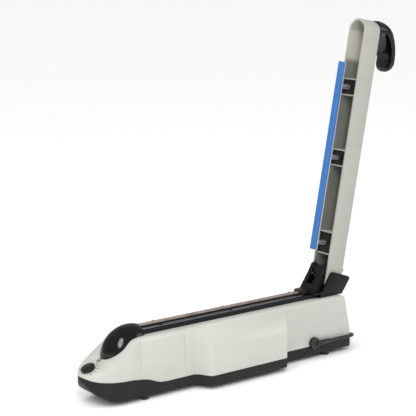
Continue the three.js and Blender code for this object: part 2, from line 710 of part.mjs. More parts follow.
// hub block with its lug and cam
const plungerAngle = -Math.PI / 2 + THREE.MathUtils.degToRad(openLean);
const closeAngle = THREE.MathUtils.degToRad(90 + openLean);
const lug = new THREE.Shape();
const camStart = plungerAngle + 0.2;
lug.moveTo(hubDepth + 1, camBase * Math.sin(camStart));
lug.lineTo(camBase * Math.cos(camStart), camBase * Math.sin(camStart));
const camSteps = 14;
for (let i = 0; i <= camSteps; i += 1) {
  const turn = (closeAngle * 1.05 * i) / camSteps;
  const radius = camBase + (camLift * turn) / closeAngle;
  lug.lineTo(radius * Math.cos(plungerAngle - turn), radius * Math.sin(plungerAngle - turn));
}
lug.lineTo(-camBase * 0.5, camBase * 0.87);
lug.lineTo(0, camBase);
lug.lineTo(hubDepth + 1, camBase);
// the brow fills the tongue's slot in front of the pin while the arm is open
const brow = polygon([
  [-5.4, 4.6], [-2, 16.4], [5, 16.4], [hubDepth + 1, hubHigh - 1], [hubDepth + 1, camBase - 1], [-2, camBase - 1],
]);
const hub = cut(
  unite(
    prismAcross(brow, -lugHalfWidth, lugHalfWidth),
    boxSolid(hubDepth, webInner - seatGap, -armHalf + armWall + seatGap, armHalf - armWall - seatGap, hubLow, hubHigh),
    prismAcross(lug, -lugHalfWidth, lugHalfWidth),
  ),
  axleSolid(0, 0, -20, 20, pinRadius + seatGap),
  ...hubScrews.y.map((y) => rodSolid(hubDepth + 3, armBack, y, hubScrews.place, 1.8, 1.8, 12)),
);
addTo(arm, 'arm_hub', hub, 'black');
hubScrews.y.forEach((y, index) => {
  const screw = unite(
    rodSolid(armBack + seatGap, armBack + 2, y, hubScrews.place, screwHead, screwHead - 0.7, 20),
    rodSolid(hubDepth + 5, armBack + 0.8, y, hubScrews.place, 1.45, 1.45, 12),
  );
  addTo(arm, `hub_screw_${index + 1}`, screw, 'steel');
});

// guides between the rib pairs, each bored for one stem of the bar carrier
const stemPlaces = [];
const guideInner = armHalf - armWall - seatGap;
const springGap = 0.3;
const carrierBack = stripThickness + carrierThickness + seatGap - (pivotZ - crestTop - seatGap);
guideBays.forEach(([low, high], index) => {
  const middle = (low + high) / 2;
  stemPlaces.push(middle);
  const guide = cut(
    boxSolid(ribFront + 0.5, webInner - seatGap, -guideInner, guideInner, low + seatGap, high - seatGap),
    rodSolid(0, webInner, 0, middle, stemRadius + seatGap),
  );
  addTo(arm, `bar_guide_${index + 1}`, guide, 'black');
  const coil = [];
  const first = carrierBack + 0.4 + springGap + 0.1;
  const last = ribFront + 0.5 - 0.4 - springGap - 0.1;
  const turns = 5;
  for (let i = 0; i <= turns * 8; i += 1) {
    const angle = (2 * Math.PI * i) / 8;
    const x = first + ((last - first) * i) / (turns * 8);
    const radius = stemRadius + 1.1;
    coil.push([x, radius * Math.cos(angle), middle + radius * Math.sin(angle)]);
  }
  addTo(arm, `bar_spring_${index + 1}`, solidOf(sweep(coil, 0.4, 6, turns * 10)), 'steel');
});

const stripFront = -(pivotZ - crestTop - seatGap);
const stripBack = stripFront + stripThickness;
addTo(arm, 'pressure_strip',
  boxSolid(stripFront, stripBack, -stripHalfWidth, stripHalfWidth, stripStart, stripEnd), 'blue');
addTo(arm, 'bar_carrier', unite(
  boxSolid(stripBack + seatGap, carrierBack, -stripHalfWidth - 0.5, stripHalfWidth + 0.5, stripStart, stripEnd),
  ...stemPlaces.map((place) => rodSolid(carrierBack - 1, stemReach, 0, place, stemRadius)),
), 'aluminium');

// ---------------------------------------------------------------- scoop handle on the arm's back
const root = armBack + seatGap;
const handleSide = new THREE.Shape();
handleSide.moveTo(root, armTip - armTipCorner - 20);
handleSide.lineTo(root, armTip - armTipCorner + 3);
handleSide.splineThru([
  [root + 4, armTip + 0.5], [root + 11, armTip + 1], [root + 20, armTip - 4], [root + 29, armTip - 13],
  [root + 37, armTip - 27], [root + 42, armTip - 43], [root + 43.5, armTip - 58], [root + 42, armTip - 71],
  [root + 38, armTip - 77],
].map(([a, b]) => new THREE.Vector2(a, b)));
handleSide.splineThru([
  [root + 35, armTip - 72], [root + 35.5, armTip - 56], [root + 33, armTip - 41], [root + 27, armTip - 28],
  [root + 19, armTip - 19], [root + 9, armTip - 17], [root, armTip - 32],
].map(([a, b]) => new THREE.Vector2(a, b)));
const handleEnd = armTip - 78;
const handleHalf = handleWidth / 2;
const handleFace = new THREE.Shape();
handleFace.absarc(0, handleEnd + handleHalf, handleHalf, -Math.PI, 0);
handleFace.absarc(0, armTip + 2 - handleHalf, handleHalf, 0, Math.PI);
const webLow = armTip - 53.5;
const webHigh = webLow + 6;
const grip = prismAcross(handleSide, -handleHalf, handleHalf, 6).intersect(prismAlong(handleFace, 0, 150, 10));
const handle = cut(
  unite(grip, boxSolid(root, root + 37, -12, 12, webLow, webHigh)),
  ...handleScrewPlaces.map((place) => rodSolid(root - 1, root + 9, 0, place, 1.8, 1.8, 12)),
);
addTo(arm, 'handle', handle, 'gloss');
handleScrewPlaces.forEach((place, index) => {
  const screw = unite(
    rodSolid(webInner - 2, webInner - seatGap, 0, place, screwHead - 0.7, screwHead, 20),
    rodSolid(webInner - 0.8, root + 7.5, 0, place, 1.45, 1.45, 12),
  );
  addTo(arm, `handle_screw_${index + 1}`, screw, 'steel');
});

// ---------------------------------------------------------------- power cord
const glandBody = unite(
  axleSolid(gland.x, gland.z, gland.face, -31, gland.radius, 32),
  rodSolid(gland.x + 2, gland.sleeveEnd, gland.sleeveY, gland.z, 4.4, 3.4, 20),
);
addTo(machine, 'cord_gland', glandBody, 'rubber');

// the loose stretch: along the near side, round the rear corner, down to the bench and behind the body
const coilOuter = coilRadius + coilTurns * cordRadius + 0.4;
const coilSide = coilCentre[1] - coilOuter - cordRadius - seatGap;
const loosePath = [
  [gland.sleeveEnd + seatGap, gland.sleeveY, 27], [-32, -41, 27], [-20, -41, 26.9], [-7.2, -41, 26.5],
  [3.8, -38.1, 25.6], [11.8, -30, 23.7], [14.8, -19, 20.8], [15, -8, 17], [14.8, 4, 12.6], [13.6, 16, 8.6],
  [10.2, 28, 5.4], [3.2, 37.4, 3.6], [-8, 42.2, 2.8], [-21, 43.2, cordRadius], [-40, 42.9, cordRadius],
  [-60, 42.5, cordRadius], [-82, coilSide, cordRadius], [coilCentre[0] + 6, coilSide, cordRadius],
];
addTo(machine, 'power_cord', solidOf(sweep(loosePath, cordRadius, 8, 36)), 'rubber');

const coilInner = coilRadius - coilTurns * cordRadius - 0.4;
const coilHigh = coilLayers * 2 * cordRadius + 0.3;
const ring = new THREE.LatheGeometry([
  [coilInner, 0], [coilOuter, 0], [coilOuter, coilHigh], [coilInner, coilHigh], [coilInner, 0],
].map(([r, z]) => new THREE.Vector2(r, z)), 40);
addTo(machine, 'cord_coil', solidOf(ring.rotateX(Math.PI / 2).translate(coilCentre[0], coilCentre[1], 0)), 'rubber');

const tailSide = coilCentre[1] + coilOuter + cordRadius + seatGap;
const plug = { back: coilCentre[0] + 30, length: 34, half: 12.5, high: 17 };
const tailZ = 3 * cordRadius;
const plugZ = plug.high / 2;
const tailPath = [
  [coilCentre[0], tailSide, tailZ], [coilCentre[0] + 10, tailSide + 0.3, tailZ],
  [coilCentre[0] + 20, tailSide + 0.5, plugZ], [plug.back - seatGap, tailSide + 0.5, plugZ],
];
addTo(machine, 'cord_tail', solidOf(sweep(tailPath, cordRadius, 8, 6)), 'rubber');

const plugY = tailSide + 0.5;
const plugFace = new THREE.Shape();
plugFace.moveTo(plug.back, plugY - 4);
plugFace.lineTo(plug.back + 12, plugY - plug.half);
plugFace.lineTo(plug.back + plug.length, plugY - plug.half);
plugFace.lineTo(plug.back + plug.length, plugY + plug.half);
plugFace.lineTo(plug.back + 12, plugY + plug.half);
plugFace.lineTo(plug.back, plugY + 4);
const pinEnd = plug.back + plug.length + 16;
const pinStart = plug.back + plug.length - 1;
addTo(machine, 'power_plug', unite(
  prismUp(plugFace, 0, plug.high),
  boxSolid(pinStart, pinEnd, plugY - 7.1, plugY - 5.6, plugZ - 1.5, plugZ + 4.7),
  boxSolid(pinStart, pinEnd, plugY + 5.6, plugY + 7.1, plugZ - 1.5, plugZ + 4.7),
  rodSolid(pinStart, pinEnd + 2, plugY, plugZ - 4, 2.3, 2.3, 14),
), 'rubber');

// ---------------------------------------------------------------- origin
// The origin is under the middle of the machine, on the bench; the loose cord is not counted.
const cordPieces = ['cord_gland', 'power_cord', 'cord_coil', 'cord_tail', 'power_plug'];
machine.updateMatrixWorld(true);
const extent = new THREE.Box3();
machine.traverse((piece) => {
  if (piece.isMesh && !cordPieces.includes(piece.name)) extent.expandByObject(piece, true);
});
const middle = extent.getCenter(new THREE.Vector3());
machine.position.set(-middle.x, -middle.y, -extent.min.z);

const heatSealer = new THREE.Group();
heatSealer.add(machine);
export default heatSealer;
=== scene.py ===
import json
import math
import bmesh
import bpy
from mathutils import Matrix, Vector


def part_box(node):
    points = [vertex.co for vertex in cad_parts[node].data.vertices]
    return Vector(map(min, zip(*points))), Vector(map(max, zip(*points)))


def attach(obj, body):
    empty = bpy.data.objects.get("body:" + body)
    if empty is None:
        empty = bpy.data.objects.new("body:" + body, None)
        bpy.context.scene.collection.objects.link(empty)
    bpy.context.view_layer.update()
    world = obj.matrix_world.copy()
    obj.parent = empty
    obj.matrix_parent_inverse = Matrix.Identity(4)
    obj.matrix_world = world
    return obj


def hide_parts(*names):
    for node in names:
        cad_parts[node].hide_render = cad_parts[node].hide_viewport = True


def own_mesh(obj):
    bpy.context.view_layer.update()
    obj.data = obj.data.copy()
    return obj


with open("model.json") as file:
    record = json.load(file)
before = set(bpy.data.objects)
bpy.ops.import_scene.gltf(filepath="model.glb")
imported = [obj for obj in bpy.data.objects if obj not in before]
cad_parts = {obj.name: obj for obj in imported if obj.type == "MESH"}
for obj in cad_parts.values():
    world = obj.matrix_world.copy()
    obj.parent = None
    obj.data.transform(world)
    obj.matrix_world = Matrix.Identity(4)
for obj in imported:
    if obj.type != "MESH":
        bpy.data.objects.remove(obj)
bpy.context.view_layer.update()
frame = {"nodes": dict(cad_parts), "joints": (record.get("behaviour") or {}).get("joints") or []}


# ---------------------------------------------------------------- bench, light and camera
# The sealer stands on a plain white bench, far larger than the machine, so that no edge of it shows.
# One broad lamp in front and a weaker one on the right light it, under a wide soft skylight and a white sky.
rail_low, rail_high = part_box("bed_rail")
rail_setback = 0.012  # the rail stops this far short of the body's hinge end
hinge_end = Vector((rail_high.x + rail_setback, (rail_low.y + rail_high.y) / 2, 0))


def bench_point(x, y, z):
    """A point counted in millimetres from the hinge end of the body, on its centre plane."""
    return Vector((x / 1000 + hinge_end.x, y / 1000 + hinge_end.y, z / 1000))


def linear(hex_colour):
    """An sRGB hex colour as the linear values that a shader takes."""
    values = [int(hex_colour[i:i + 2], 16) / 255 for i in (1, 3, 5)]
    return [v / 12.92 if v <= 0.04045 else ((v + 0.055) / 1.055) ** 2.4 for v in values] + [1.0]


def add_node(tree, kind, settings=None, inputs=None, links=None):
    """Adds one node: its own settings, its input values, and links into it from other nodes."""
    node = tree.nodes.new(kind)
    for key, value in (settings or {}).items():
        setattr(node, key, value)
    for key, value in (inputs or {}).items():
        node.inputs[key].default_value = value
    for key, source in (links or {}).items():
        tree.links.new(source, node.inputs[key])
    return node


def new_finish(name):
    """An empty material and its node tree."""
    material = bpy.data.materials.new(name)
    material.use_nodes = True
    material.node_tree.nodes.clear()
    return material, material.node_tree


bench_reach = 12.0  # metres from the middle to each edge
bench = bpy.data.meshes.new("bench")
sheet_of_bench = bmesh.new()
bmesh.ops.create_grid(sheet_of_bench, x_segments=1, y_segments=1, size=bench_reach)
sheet_of_bench.to_mesh(bench)
sheet_of_bench.free()
bench_top = bpy.data.objects.new("bench", bench)
bpy.context.scene.collection.objects.link(bench_top)
# matt white laminate: it takes a soft shadow and shows no gloss
bench_laminate, tree = new_finish("bench_white_laminate")
shader = add_node(
    tree, "ShaderNodeBsdfPrincipled", inputs={"Base Color": linear("#FFFFFF"), "Roughness": 0.8})
add_node(tree, "ShaderNodeOutputMaterial", links={"Surface": shader.outputs["BSDF"]})
bench.materials.append(bench_laminate)

# the sky is at full strength along the horizon, so that the bench runs into it, and about half above that
sky = bpy.data.worlds.new("studio")
bpy.context.scene.world = sky
sky.use_nodes = True
backdrop = sky.node_tree.nodes["Background"]
backdrop.inputs["Color"].default_value = linear("#FFFFFF")
towards = add_node(sky.node_tree, "ShaderNodeTexCoord")
rise = add_node(sky.node_tree, "ShaderNodeSeparateXYZ", links={"Vector": towards.outputs["Generated"]})
glow = add_node(
    sky.node_tree, "ShaderNodeMapRange",
    inputs={"From Min": 0.0, "From Max": 0.1, "To Min": 1.0, "To Max": 0.54},
    links={"Value": rise.outputs["Z"]})
sky.node_tree.links.new(glow.outputs["Result"], backdrop.inputs["Strength"])
bpy.context.scene.view_settings.view_transform = "Standard"


def soft_lamp(name, place, target, width, height, watts):
    """A round or oval soft box at place, facing target, with its sizes in metres."""
    lamp = bpy.data.lights.new(name, "AREA")
    lamp.shape = "ELLIPSE"
    lamp.size = width
    lamp.size_y = height
    lamp.energy = watts
    holder = bpy.data.objects.new(name, lamp)
    bpy.context.scene.collection.objects.link(holder)
    holder.location = place
    holder.rotation_euler = (Vector(target) - Vector(place)).to_track_quat("-Z", "Y").to_euler()


soft_lamp("lamp_front", (-1.1, -1.9, 1.7), target=(0, 0, 0.15), width=0.8, height=1.7, watts=33)
soft_lamp("lamp_right", (1.7, -1.6, 1.5), target=(0.1, 0, 0.2), width=1.2, height=1.2, watts=6)
# a very wide sun stands for daylight from above; gloss doesn't mirror it, since its disc would show as a spot
skylight = bpy.data.lights.new("skylight", "SUN")
skylight.energy = 1.6
skylight.angle = math.radians(70)
skylight_holder = bpy.data.objects.new("skylight", skylight)
bpy.context.scene.collection.objects.link(skylight_holder)
skylight_holder.visible_glossy = False
skylight_holder.rotation_euler = Vector((0.6, 0.2, -1)).to_track_quat("-Z", "Y").to_euler()

# the camera stands about two metres off, in front and to the near side, and looks a little down
eye = bpy.data.cameras.new("eye")
eye.lens = 112.5
eye.sensor_width = 36
camera = bpy.data.objects.new("eye", eye)
bpy.context.scene.collection.objects.link(camera)
ahead = Vector((0.583, 0.787, -0.2033)).normalized()
rightward = Vector((0.803, -0.595, 0)).normalized()
upward = rightward.cross(ahead).normalized()
camera.matrix_world = Matrix((
    (rightward.x, upward.x, -ahead.x, 0),
    (rightward.y, upward.y, -ahead.y, 0),
    (rightward.z, upward.z, -ahead.z, 0),
    (0, 0, 0, 1),
))
camera.location = bench_point(-1401, -1539, 662)
bpy.context.scene.camera = camera


# ---------------------------------------------------------------- mains lead
# A round black PVC-sheathed mains lead, 5.5 mm thick. It leaves the gland on the near side, bends round the
# rear corner, drops to the bench and lies wound in a two-layer coil behind the body, with its plug beside it.
dust_patch_mm = 25
dust_lift = 14  # how much paler the dust is than the skin, of 255


def sheath(name, colour, roughness, grain_mm):
    """Soft PVC or rubber: an even satin skin with a very fine drag texture and faint dust."""
    material, tree = new_finish(name)
    place = add_node(tree, "ShaderNodeTexCoord")
    grain = add_node(
        tree, "ShaderNodeTexNoise",
        inputs={"Scale": 1000 / grain_mm, "Detail": 3.0, "Roughness": 0.6},
        links={"Vector": place.outputs["Object"]})
    haze = add_node(
        tree, "ShaderNodeTexNoise", inputs={"Scale": 1000 / dust_patch_mm, "Detail": 4.0},
        links={"Vector": place.outputs["Object"]})
    dust = add_node(tree, "ShaderNodeValToRGB", links={"Fac": haze.outputs["Fac"]})
    dust.color_ramp.elements[0].position = 0.35
    dust.color_ramp.elements[0].color = linear(colour)
    dust.color_ramp.elements[1].position = 0.75
    lighter = "#" + "".join(f"{min(255, int(colour[i:i + 2], 16) + dust_lift):02X}" for i in (1, 3, 5))
    dust.color_ramp.elements[1].color = linear(lighter)
    sheen = add_node(
        tree, "ShaderNodeMapRange",
        inputs={"From Min": 0.3, "From Max": 0.7, "To Min": roughness - 0.05, "To Max": roughness + 0.08},
        links={"Value": haze.outputs["Fac"]})
    bump = add_node(
        tree, "ShaderNodeBump", inputs={"Strength": 0.25, "Distance": 0.0001},
        links={"Height": grain.outputs["Fac"]})
    shader = add_node(
        tree, "ShaderNodeBsdfPrincipled", inputs={"IOR": 1.5},
        links={"Base Color": dust.outputs["Color"], "Roughness": sheen.outputs["Result"],
               "Normal": bump.outputs["Normal"]})
    add_node(tree, "ShaderNodeOutputMaterial", links={"Surface": shader.outputs["BSDF"]})
    return material


# black PVC: nearly black, with a soft satin line of light along it
lead_pvc = sheath("lead_black_pvc", "#101011", roughness=0.42, grain_mm=0.5)
lead_radius = 2.75
coil_radius = 41.7
coil_middle = (-110, 84)
coil_side = coil_middle[1] - coil_radius
# from the gland, round the rear corner and down, to the side of the coil
lead_waypoints = [
    (-43.7, -41, 27), (-32, -41, 27), (-20, -41, 26.9), (-7.2, -41, 26.5), (3.8, -38.1, 25.6),
    (11.8, -30, 23.7), (14.8, -19, 20.8), (15, -8, 17), (14.8, 4, 12.6), (13.6, 16, 8.6), (10.2, 28, 5.4),
    (3.2, 37.4, 3.6), (-8, 42.2, 2.8), (-21, 43.2, lead_radius), (-40, 42.9, lead_radius),
    (-60, 42.5, lead_radius), (-82, coil_side, lead_radius), (-104, coil_side, lead_radius),
]


def between(p0, p1, p2, p3, steps):
    """Points on the centripetal Catmull-Rom stretch from p1 to p2, the curve that the CAD lead follows."""
    p0, p1, p2, p3 = (Vector(p) for p in (p0, p1, p2, p3))
    t0 = 0.0
    t1 = t0 + (p1 - p0).length ** 0.5
    t2 = t1 + (p2 - p1).length ** 0.5
    t3 = t2 + (p3 - p2).length ** 0.5
    found = []
    for i in range(steps):
        t = t1 + (t2 - t1) * i / steps
        a1 = p0 * ((t1 - t) / (t1 - t0)) + p1 * ((t - t0) / (t1 - t0))
        a2 = p1 * ((t2 - t) / (t2 - t1)) + p2 * ((t - t1) / (t2 - t1))
        a3 = p2 * ((t3 - t) / (t3 - t2)) + p3 * ((t - t2) / (t3 - t2))
        b1 = a1 * ((t2 - t) / (t2 - t0)) + a2 * ((t - t0) / (t2 - t0))
        b2 = a2 * ((t3 - t) / (t3 - t1)) + a3 * ((t - t1) / (t3 - t1))
        found.append(b1 * ((t2 - t) / (t2 - t1)) + b2 * ((t - t1) / (t2 - t1)))
    return found


def ease(u):
    """A smooth step from 0 to 1 as u goes from 0 to 1."""
    u = min(1.0, max(0.0, u))
    return u * u * (3 - 2 * u)


# one point more at either end, so that the curve is led in and out
lead_in = tuple(2 * a - b for a, b in zip(lead_waypoints[0], lead_waypoints[1]))
lead_out = (coil_middle[0] - 12, coil_side + 0.2, lead_radius)
guided = [lead_in, *lead_waypoints, lead_out]
lead_line = []
for i in range(len(guided) - 3):
    lead_line += between(*guided[i:i + 4], steps=4)

# the coil: three turns inward on the bench, then two and a half outward on top of them
turn_radii = [coil_radius, 35.7, 30.0, 24.3, 24.3, 30.0, 35.7]
coil_turns = 5.5
steps_per_turn = 48
shift_share = 60 / 360  # the part of a turn in which the lead moves over to the next turn's radius
last_shift = 6.0
climb_from, climb_to = 2.72, 3.0  # counted in turns
layer_rise = 5.6
for i in range(int(coil_turns * steps_per_turn) + 1):
    turns = i / steps_per_turn
    which = int(turns)
    inward = turn_radii[which + 1] - turn_radii[which]
    radius = turn_radii[which] + inward * ease((turns - which) / shift_share)
    radius += last_shift * ease((turns - coil_turns + shift_share) / shift_share)
    angle = math.radians(-90) - 2 * math.pi * turns
    height = lead_radius + layer_rise * ease((turns - climb_from) / (climb_to - climb_from))
    lead_line.append(Vector((
        coil_middle[0] + radius * math.cos(angle), coil_middle[1] + radius * math.sin(angle), height)))
# the tail: straight off the upper layer to the plug
tail_y = coil_middle[1] + coil_radius + 0.5
for forward, aside, height in ((8, -0.2, 8.4), (18, 0, 8.5), (30, 0, 8.5)):
    lead_line.append(Vector((coil_middle[0] + forward, tail_y + aside, height)))
lead_points = [bench_point(*p) for p in lead_line]
lead_curve = bpy.data.curves.new("mains_lead", "CURVE")
lead_curve.dimensions = "3D"
lead_curve.bevel_depth = lead_radius / 1000
lead_curve.bevel_resolution = 3
lead_curve.use_fill_caps = True
run = lead_curve.splines.new("POLY")
run.points.add(len(lead_points) - 1)
for spot, point in zip(run.points, lead_points):
    spot.co = (*point, 1)
run.use_smooth = True
lead_curve.materials.append(lead_pvc)
mains_lead = bpy.data.objects.new("mains_lead", lead_curve)
bpy.context.scene.collection.objects.link(mains_lead)
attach(mains_lead, "base")
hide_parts("power_cord", "cord_coil", "cord_tail")


# ---------------------------------------------------------------- cord gland and plug
# The gland is a round moulded boss set in the parting line, with a tapered flex sleeve for the lead.
# The plug is a moulded PVC block with two flat blades and a round earth pin.
weld_gap = 0.00001  # metres
flat_within = math.radians(1.0)
fold_from = 0.3  # radians


def finished_copy(
        node, name, material, body,
        edge_mm=0.0, edge_angle=35, rounds=2, shade=32, soft_edges=()):
    """The CAD node as a finished piece: facets joined, hard edges rounded as a mould or cutter leaves them.

    Edges that turn by more than edge_angle degrees get a radius of edge_mm, in that many rounds. soft_edges
    gives (test, mm) pairs for wider ones. Faces that meet at less than shade degrees are shaded round.
    """
    mesh = bpy.data.meshes.new(name)
    work = bmesh.new()
    work.from_mesh(frame["nodes"][node].data)
    bmesh.ops.remove_doubles(work, verts=work.verts, dist=weld_gap)
    bmesh.ops.dissolve_limit(
        work, angle_limit=flat_within, verts=work.verts, edges=work.edges, delimit={"NORMAL"})
    for belongs, wide_mm in soft_edges:
        folds = [e for e in work.edges if e.is_manifold and e.calc_face_angle(0) > fold_from and belongs(e)]
        bmesh.ops.bevel(
            work, geom=folds, offset=wide_mm / 1000, segments=4, profile=0.5, affect="EDGES",
            clamp_overlap=True, material=-1, offset_type="OFFSET")
    if edge_mm:
        sharp = [e for e in work.edges if e.is_manifold and e.calc_face_angle(0) > math.radians(edge_angle)]
        bmesh.ops.bevel(
            work, geom=sharp, offset=edge_mm / 1000, segments=rounds, profile=0.5, affect="EDGES",
            clamp_overlap=True, material=-1, offset_type="OFFSET")
    bmesh.ops.triangulate(work, faces=[f for f in work.faces if len(f.verts) > 4])
    work.to_mesh(mesh)
    work.free()
    for face in mesh.polygons:
        face.use_smooth = True
    mesh.set_sharp_from_angle(angle=math.radians(shade))
    mesh.materials.clear()
    mesh.materials.append(material)
    piece = bpy.data.objects.new(name, mesh)
    bpy.context.scene.collection.objects.link(piece)
    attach(piece, body)
    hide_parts(node)
    return piece


finished_copy("cord_gland", "lead_gland", lead_pvc, "base", 0.5, 40)
power_plug = finished_copy("power_plug", "lead_plug", lead_pvc, "base", 0.9, 30)


# ---------------------------------------------------------------- base pan and feet
# The base pan is black ABS with a fine spark texture; the cover sits on its lip along a stepped parting line.
# Four rubber feet are screwed up into bosses in the floor of the pan.
def moulded(name, colour, roughness, spark_mm, wear, wear_amount, depth=0.00012, ior=1.5):
    """Moulded plastic or paint: a fine skin with grains of spark_mm, faint flow marks and worn edges.

    The flow marks are about 110 mm long along the body and 35 to 46 mm across it. The worn edges take the
    colour wear, broken up in patches of 6 mm.
    """
    material, tree = new_finish(name)
    place = add_node(tree, "ShaderNodeTexCoord")
    skin = add_node(
        tree, "ShaderNodeTexNoise", inputs={"Scale": 1000 / spark_mm, "Detail": 2.0, "Roughness": 0.55},
        links={"Vector": place.outputs["Object"]})
    flow_map = add_node(
        tree, "ShaderNodeMapping", inputs={"Scale": (1.0, 3.2, 2.4)},
        links={"Vector": place.outputs["Object"]})
    flow = add_node(
        tree, "ShaderNodeTexNoise", inputs={"Scale": 9.0, "Detail": 5.0, "Roughness": 0.6, "Distortion": 0.4},
        links={"Vector": flow_map.outputs["Vector"]})
    tone = add_node(
        tree, "ShaderNodeMapRange",
        inputs={"From Min": 0.3, "From Max": 0.7, "To Min": 0.94, "To Max": 1.04},
        links={"Value": flow.outputs["Fac"]})
    tinted = add_node(
        tree, "ShaderNodeVectorMath", settings={"operation": "MULTIPLY"},
        inputs={0: linear(colour)[:3]}, links={1: tone.outputs["Result"]})
    edge = add_node(tree, "ShaderNodeNewGeometry")
    edge_mask = add_node(
        tree, "ShaderNodeMapRange",
        inputs={"From Min": 0.52, "From Max": 0.62, "To Min": 0.0, "To Max": wear_amount},
        links={"Value": edge.outputs["Pointiness"]})
    patch = add_node(
        tree, "ShaderNodeTexNoise", inputs={"Scale": 1000 / 6.25, "Detail": 6.0},
        links={"Vector": place.outputs["Object"]})
    scuff = add_node(
        tree, "ShaderNodeMath", settings={"operation": "MULTIPLY"},
        links={0: edge_mask.outputs["Result"], 1: patch.outputs["Fac"]})
    worn = add_node(
        tree, "ShaderNodeMix", settings={"data_type": "RGBA"}, inputs={"B": linear(wear)},
        links={"Factor": scuff.outputs["Value"], "A": tinted.outputs["Vector"]})
    gloss = add_node(
        tree, "ShaderNodeMapRange",
        inputs={"From Min": 0.3, "From Max": 0.7, "To Min": roughness - 0.04, "To Max": roughness + 0.06},
        links={"Value": flow.outputs["Fac"]})
    bump = add_node(
        tree, "ShaderNodeBump", inputs={"Strength": 0.35, "Distance": depth},
        links={"Height": skin.outputs["Fac"]})
    shader = add_node(
        tree, "ShaderNodeBsdfPrincipled", inputs={"IOR": ior},
        links={"Base Color": worn.outputs["Result"], "Roughness": gloss.outputs["Result"],
               "Normal": bump.outputs["Normal"]})
    add_node(tree, "ShaderNodeOutputMaterial", links={"Surface": shader.outputs["BSDF"]})
    return material


def metal(name, colour, roughness, brush=(1.0, 60.0, 60.0), brush_scale=14.0):
    """Bare, plated or blackened metal: fine lines of tone left by its making, and duller fingerprints.

    As given, the lines are drawing lines along the body, about 70 mm long and a little over 1 mm apart.
    """
    material, tree = new_finish(name)
    place = add_node(tree, "ShaderNodeTexCoord")
    drawn_lines = add_node(
        tree, "ShaderNodeMapping", inputs={"Scale": brush}, links={"Vector": place.outputs["Object"]})
    lines = add_node(
        tree, "ShaderNodeTexNoise", inputs={"Scale": brush_scale, "Detail": 4.0, "Roughness": 0.65},
        links={"Vector": drawn_lines.outputs["Vector"]})
    cloud = add_node(
        tree, "ShaderNodeTexNoise", inputs={"Scale": 70.0, "Detail": 3.0},
        links={"Vector": place.outputs["Object"]})
    tone = add_node(
        tree, "ShaderNodeMapRange",
        inputs={"From Min": 0.25, "From Max": 0.75, "To Min": 0.86, "To Max": 1.06},
        links={"Value": lines.outputs["Fac"]})
    tinted = add_node(
        tree, "ShaderNodeVectorMath", settings={"operation": "MULTIPLY"},
        inputs={0: linear(colour)[:3]}, links={1: tone.outputs["Result"]})
    gloss = add_node(
        tree, "ShaderNodeMapRange",
        inputs={"From Min": 0.3, "From Max": 0.7, "To Min": roughness - 0.08, "To Max": roughness + 0.1},
        links={"Value": cloud.outputs["Fac"]})
    bump = add_node(
        tree, "ShaderNodeBump", inputs={"Strength": 0.3, "Distance": 0.00004},
        links={"Height": lines.outputs["Fac"]})
    shader = add_node(
        tree, "ShaderNodeBsdfPrincipled", inputs={"Metallic": 1.0},
        links={"Base Color": tinted.outputs["Vector"], "Roughness": gloss.outputs["Result"],
               "Normal": bump.outputs["Normal"]})
    add_node(tree, "ShaderNodeOutputMaterial", links={"Surface": shader.outputs["BSDF"]})
    return material


# spark-eroded ABS: a dark satin that takes little light from the lamps
pan_black = moulded("pan_black_abs", "#171718", 0.5, 0.7, "#3C3C3C", 0.3, ior=1.34)
finished_copy("base_pan", "pan_moulding", pan_black, "base", 0.5, 30)
# moulded rubber: duller than the pan, and a little dusty
foot_rubber = sheath("foot_moulded_rubber", "#1D1D1D", roughness=0.7, grain_mm=0.8)
# blackened steel: dark and even, mottled every 2.5 mm, with a weak metal shine
screw_black = metal("screw_blackened_steel", "#1C1D1E", 0.42, brush=(1.0, 1.0, 1.0), brush_scale=1000 / 2.5)
for corner in ("front_near", "front_far", "rear_near", "rear_far"):
    finished_copy("foot_" + corner, "rubber_foot_" + corner, foot_rubber, "base", 0.4, 40)
    finished_copy("foot_screw_" + corner, "foot_fixing_" + corner, screw_black, "base", 0.2, 40)

# ---------------------------------------------------------------- covers
# Warm light-grey ABS covers, moulded in two pieces that meet behind the nose panel. The surface is satin
# with a fine texture, a little paler on its rounded shoulders.
cover_grey = moulded("cover_light_grey_abs", "#B5B8B0", 0.42, 0.8, "#DFE0DC", 0.35)
housing_side = bench_point(0, -59.4, 0).y  # just inside the outer face of the transformer housing
parting_height = 0.0235


def on_housing(edge):
    """The fold and the upright corners of the transformer housing's outer face."""
    return all(v.co.y < housing_side and v.co.z > parting_height for v in edge.verts)


finished_copy(
    "main_cover", "cover_moulding", cover_grey, "base", 0.8, 28,
    soft_edges=[(on_housing, 3.5)])
finished_copy("nose_cap", "nose_moulding", cover_grey, "base", 0.6, 34)

# ---------------------------------------------------------------- sealing bed
# A black painted steel rail holds the bed. A rubber pad, the bare nichrome ribbon and a brown PTFE-coated
# glass tape lie on its ridge; two aluminium strips clamp the tape's edges with black screws.
# black paint on steel: a smooth dark satin, rubbed a little paler on its edges
rail_paint = moulded("rail_black_paint", "#0C0C0E", 0.36, 1.2, "#2A2A2C", 0.4, ior=1.32)
finished_copy("bed_rail", "bed_rail_press", rail_paint, "base", 0.35, 40)
# anodised aluminium: an even cool grey with fine lines along the strip
strip_metal = metal("clamp_strip_grey_anodised_aluminium", "#858B93", 0.34)
for side in ("near", "far"):
    finished_copy("clamp_strip_" + side, "clamp_bar_" + side, strip_metal, "base", 0.3, 40)
    for index in (1, 2, 3):
        finished_copy(
            f"clamp_screw_{side}_{index}", f"clamp_fixing_{side}_{index}", screw_black, "base",
            0.2, 40)
